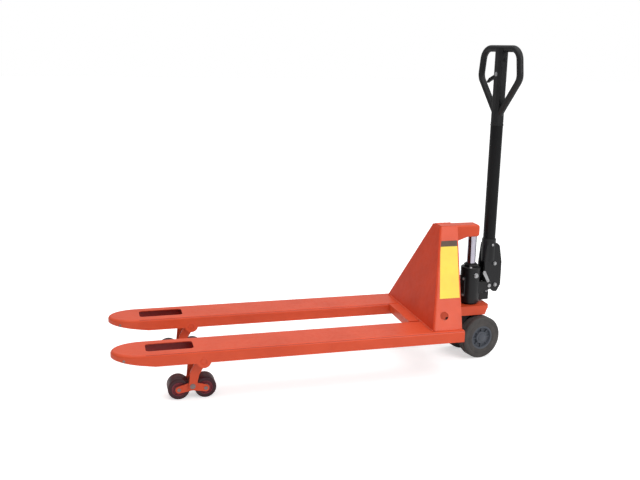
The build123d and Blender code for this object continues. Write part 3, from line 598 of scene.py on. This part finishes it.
def shaft_welds():
    """A ring of weld round each end of the load frames' shafts."""
    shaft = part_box("load_frame_shafts")
    pivot = middle("load_frame_shafts")
    sunk, root, toe = -0.0006, 0.0092, 0.0135
    bead = [(sunk, root)] + arc(-0.0002, 0.0112, 0.0019, 180, 0) + [(sunk, toe)]
    bm = bmesh.new()
    for side in SIDES.values():
        for face in (1, -1):
            y = side * FORK_Y + face * (shaft[1].y - FORK_Y)
            lathe(bm, (pivot.x, y, pivot.z), (0, face, 0), bead, 48)
    finish_mesh(bm, "shaft_welds", ORANGE, "fork_frame")


def fork_fasteners():
    """Clips near the ends of the bogie shafts, and lock nuts behind the push rods' eyes."""
    eye_half_length, eye_half_height = 0.013, 0.0115
    groove, nut_place = 0.0019, 0.016  # from the shaft's end, and from the middle of the eye
    for word, side in SIDES.items():
        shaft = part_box(f"bogie_shaft_{word}")
        centre = middle(f"bogie_shaft_{word}")
        for face, y in ((-1, shaft[0].y), (1, shaft[1].y)):
            end = "far" if face > 0 else "near"
            at = (centre.x, y - face * groove, centre.z)
            ring_piece(f"bogie_clip_{word}_{end}", f"bogie_shaft_{word}", DULL_STEEL, at,
                       (0, face, 0), inner=0.0070, outer=0.0102, length=0.0014, steps=40)
        low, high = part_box(f"push_rod_{word}")
        front = Vector((low.x + eye_half_length, side * FORK_Y, high.z - eye_half_height))
        rear = Vector((high.x - eye_half_length, side * FORK_Y, low.z + eye_half_height))
        along = (rear - front).normalized()
        bm = bmesh.new()
        hex_bolt(bm, front + along * nut_place, along, across=0.019, height=0.007)
        hex_bolt(bm, rear - along * nut_place, -along, across=0.019, height=0.007)
        finish_mesh(bm, f"rod_nuts_{word}", STEEL, f"push_rod_{word}", smooth=False)


# ------------------------------------------------------------------ pump, ram and handle

def ram_rings():
    """The wiper on the pump's gland and the snap ring under the cap."""
    gland_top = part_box("cylinder_gland")[1].z
    cap_underside = 0.517
    ring_piece("ram_wiper", "pump_unit", GRIP, (RAM.x, RAM.y, gland_top), UP,
               inner=0.0184, outer=0.0235, length=0.003)
    ring_piece("ram_snap_ring", "fork_frame", STEEL, (RAM.x, RAM.y, cap_underside), -UP,
               inner=0.0180, outer=0.0222, length=0.0015)


def return_spring():
    """The plunger's return spring, its ends ground flat."""
    low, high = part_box("plunger_spring")
    axis = middle("pump_plunger")
    turns, wire, steps = 6.5, 0.0013, 22
    flat = 0.04                        # the share of the coil that lies flat at each end
    coil = (high.x - low.x) / 2 - wire
    count = int(turns * steps)
    points, radii = [], []
    for i in range(count + 1):
        t = i / count
        angle = 2 * pi * turns * t
        share = t * (1 + 2 * flat) - flat if flat < t < 1 - flat else float(t > flat)
        rise = (high.z - low.z - 2 * wire) * share
        points.append(Vector((axis.x + coil * cos(angle), axis.y + coil * sin(angle), low.z + wire + rise)))
        radii.append(wire)
    bm = bmesh.new()
    tube(bm, points, radii, 8)
    spring = finish_mesh(bm, "return_spring", SPRING, "pump_unit")
    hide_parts("plunger_spring")
    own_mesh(spring)


def pump_fittings():
    """Screws on the valve block, a link beside the near lug, and a domed breather on the reservoir."""
    bm = bmesh.new()
    cad_head = 0.005
    face = (middle("pump_bolts") - RAM).dot(AHEAD) + cad_head / 2
    for across in (-0.012, 0.012):
        for height in (0.265, 0.335):
            hex_bolt(bm, steered(face, across, height), -AHEAD, across=0.009, height=0.0035)
    screws = finish_mesh(bm, "valve_block_screws", STEEL, "pump_unit", smooth=False)
    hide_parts("pump_bolts")

    beside_lug, thickness = -0.0365, 0.003
    start, end = steered(0.044, beside_lug, 0.360), steered(0.066, beside_lug, 0.322)
    along = (end - start).normalized()
    bm = bmesh.new()
    outline = link_outline((end - start).length, start_r=0.0075, end_r=0.0065)
    plate(bm, outline, start, along, along.cross(-ACROSS) * -1, thickness)
    for at in (start, end):
        dome(bm, at - ACROSS * thickness, -ACROSS, radius=0.004, height=0.0022, steps=24)
    finish_mesh(bm, "release_link", STEEL, "pump_unit")

    bm = bmesh.new()
    at = steered(-0.018, -0.026, 0.3835)
    dome(bm, at, UP, radius=0.0062, height=0.0055, steps=28)
    lathe(bm, at, UP, [(0, 0.004), (0, 0.0085), (0.0022, 0.0085), (0.0026, 0.008), (0.0026, 0.004)], 6)
    finish_mesh(bm, "breather", STEEL, "pump_unit")


def handle_fittings():
    """Bolts and rivets in the base, seams round the tow bar, and screws and washers on the grip's housing."""
    pin_end, collar, housing = 0.0285, 0.0292, 0.0219     # half widths, where each kind of head sits
    bm = bmesh.new()
    for side in SIDES.values():
        for ahead, height in ((0.104, 0.392), (0.112, 0.298)):
            hex_bolt(bm, steered(ahead, side * pin_end, height), ACROSS * side, across=0.011, height=0.004)
    finish_mesh(bm, "base_bolts", STEEL, "handle", smooth=False)

    bm = bmesh.new()
    reach, rivet_height = (BAR - RAM).xy.length, 0.474
    for side in SIDES.values():
        dome(bm, steered(reach, side * collar, rivet_height), ACROSS * side, radius=0.0055, height=0.003)
    finish_mesh(bm, "bar_rivets", STEEL, "handle")

    bm = bmesh.new()
    for side in SIDES.values():
        for height in (1.052, 1.236):
            at = steered(reach, side * housing, height)
            dome(bm, at, ACROSS * side, radius=0.0048, height=0.0022)
            lathe(bm, at, ACROSS * side, [(0, 0.0048), (0, 0.0072), (0.0009, 0.0070), (0.0009, 0.0048)], 32)
    finish_mesh(bm, "housing_screws", BLACK, "handle")
    pin_z, cheek = middle("lever_pin").z, 0.0218
    for word, side in SIDES.items():
        ring_piece(f"lever_washer_{word}", "handle", STEEL,
                   steered(reach + side * cheek, 0, pin_z), AHEAD * side,
                   inner=0.0041, outer=0.0085, length=0.0011, steps=36)
    base_top, bar_top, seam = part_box("handle_base")[1].z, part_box("tow_bar")[1].z, 0.004
    ring_piece("bar_seam_low", "handle", GRIP, (BAR.x, BAR.y, base_top), UP,
               inner=0.0255, outer=0.0278, length=0.003)
    ring_piece("bar_seam_high", "handle", GRIP, (BAR.x, BAR.y, bar_top - seam), UP,
               inner=0.0255, outer=0.0272, length=seam)


steer_wheels()
load_rollers()
entry_rollers()
frame_welds()
shaft_welds()
fork_fasteners()
ram_rings()
return_spring()
pump_fittings()
handle_fittings()

# ------------------------------------------------------------------ light, floor and camera

CAMERA_AT = (-0.8367, -3.0519, 1.2675)
CAMERA_YAW = radians(15.494)          # clockwise from +Y, seen from above
CAMERA_PITCH = radians(13.191)        # below level
CAMERA_ROLL = radians(1.142)
CAMERA_LENS = 45.975


def build_camera():
    data = bpy.data.cameras.new("camera")
    data.lens = CAMERA_LENS
    data.sensor_width = 36.0
    camera = bpy.data.objects.new("camera", data)
    bpy.context.scene.collection.objects.link(camera)
    reach = cos(CAMERA_PITCH)
    ahead = Vector((sin(CAMERA_YAW) * reach, cos(CAMERA_YAW) * reach, -sin(CAMERA_PITCH)))
    level = Vector((cos(CAMERA_YAW), -sin(CAMERA_YAW), 0))
    up = level.cross(ahead)
    right = cos(CAMERA_ROLL) * level + sin(CAMERA_ROLL) * up
    up = right.cross(ahead)
    turn = Matrix((right, up, -ahead)).transposed()
    camera.matrix_world = Matrix.Translation(CAMERA_AT) @ turn.to_4x4()
    bpy.context.scene.camera = camera


def build_world():
    """White to the eye; as a light, dim at the horizon and in front of the forks, and bright overhead."""
    world = bpy.data.worlds.new("studio")
    world.use_nodes = True
    tree = world.node_tree
    links, background = tree.links, tree.nodes["Background"]
    coords = tree.nodes.new("ShaderNodeTexCoord")
    split = tree.nodes.new("ShaderNodeSeparateXYZ")
    links.new(coords.outputs["Generated"], split.inputs["Vector"])
    level = tree.nodes.new("ShaderNodeMath")
    level.operation = "MULTIPLY"
    ramps = (("Z", (0.0, 0.9, 0.38, 0.92)), ("X", (-1.0, 1.0, 0.62, 1.12)))
    for factor, (axis, limits) in zip(level.inputs, ramps):
        ramp = tree.nodes.new("ShaderNodeMapRange")
        links.new(split.outputs[axis], ramp.inputs["Value"])
        for name, value in zip(("From Min", "From Max", "To Min", "To Max"), limits):
            ramp.inputs[name].default_value = value
        links.new(ramp.outputs["Result"], factor)
    seen = tree.nodes.new("ShaderNodeLightPath")
    white = tree.nodes.new("ShaderNodeMix")
    links.new(seen.outputs["Is Camera Ray"], white.inputs[0])
    links.new(level.outputs[0], white.inputs[2])
    white.inputs[3].default_value = 1.0
    links.new(white.outputs[0], background.inputs["Strength"])
    background.inputs["Color"].default_value = (1, 1, 1, 1)
    bpy.context.scene.world = world


def area_light(name, at, aim, size, power):
    data = bpy.data.lights.new(name, "AREA")
    data.shape = "RECTANGLE"
    data.size, data.size_y = size
    data.energy = power
    light = bpy.data.objects.new(name, data)
    bpy.context.scene.collection.objects.link(light)
    light.location = at
    light.rotation_euler = (Vector(aim) - Vector(at)).to_track_quat("-Z", "Y").to_euler()


def build_floor():
    glow = 0.55                        # seen by the camera only, so that the paper is nearly white
    bpy.ops.mesh.primitive_plane_add(size=60)
    floor = bpy.context.object
    floor.name = "floor"
    paper = Shader("floor_white")
    paper.link(paper.blend(paper.noise(2.0), (0.93, 0.93, 0.93), (0.95, 0.95, 0.95)), paper.out["Base Color"])
    paper.out["Roughness"].default_value = 0.7
    seen = paper.add("ShaderNodeLightPath").outputs["Is Camera Ray"]
    paper.out["Emission Color"].default_value = (1, 1, 1, 1)
    paper.link(paper.calc("MULTIPLY", seen, glow), paper.out["Emission Strength"])
    floor.data.materials.append(paper.mat)


build_camera()
build_world()
area_light("top_light", at=(0.0, -0.3, 3.2), aim=(0, 0, 0.2), size=(3.6, 2.4), power=34)
area_light("side_light", at=(1.7, -2.4, 2.4), aim=(0.4, 0, 0.35), size=(2.0, 1.6), power=30)
build_floor()
bpy.context.scene.view_settings.view_transform = "Standard"
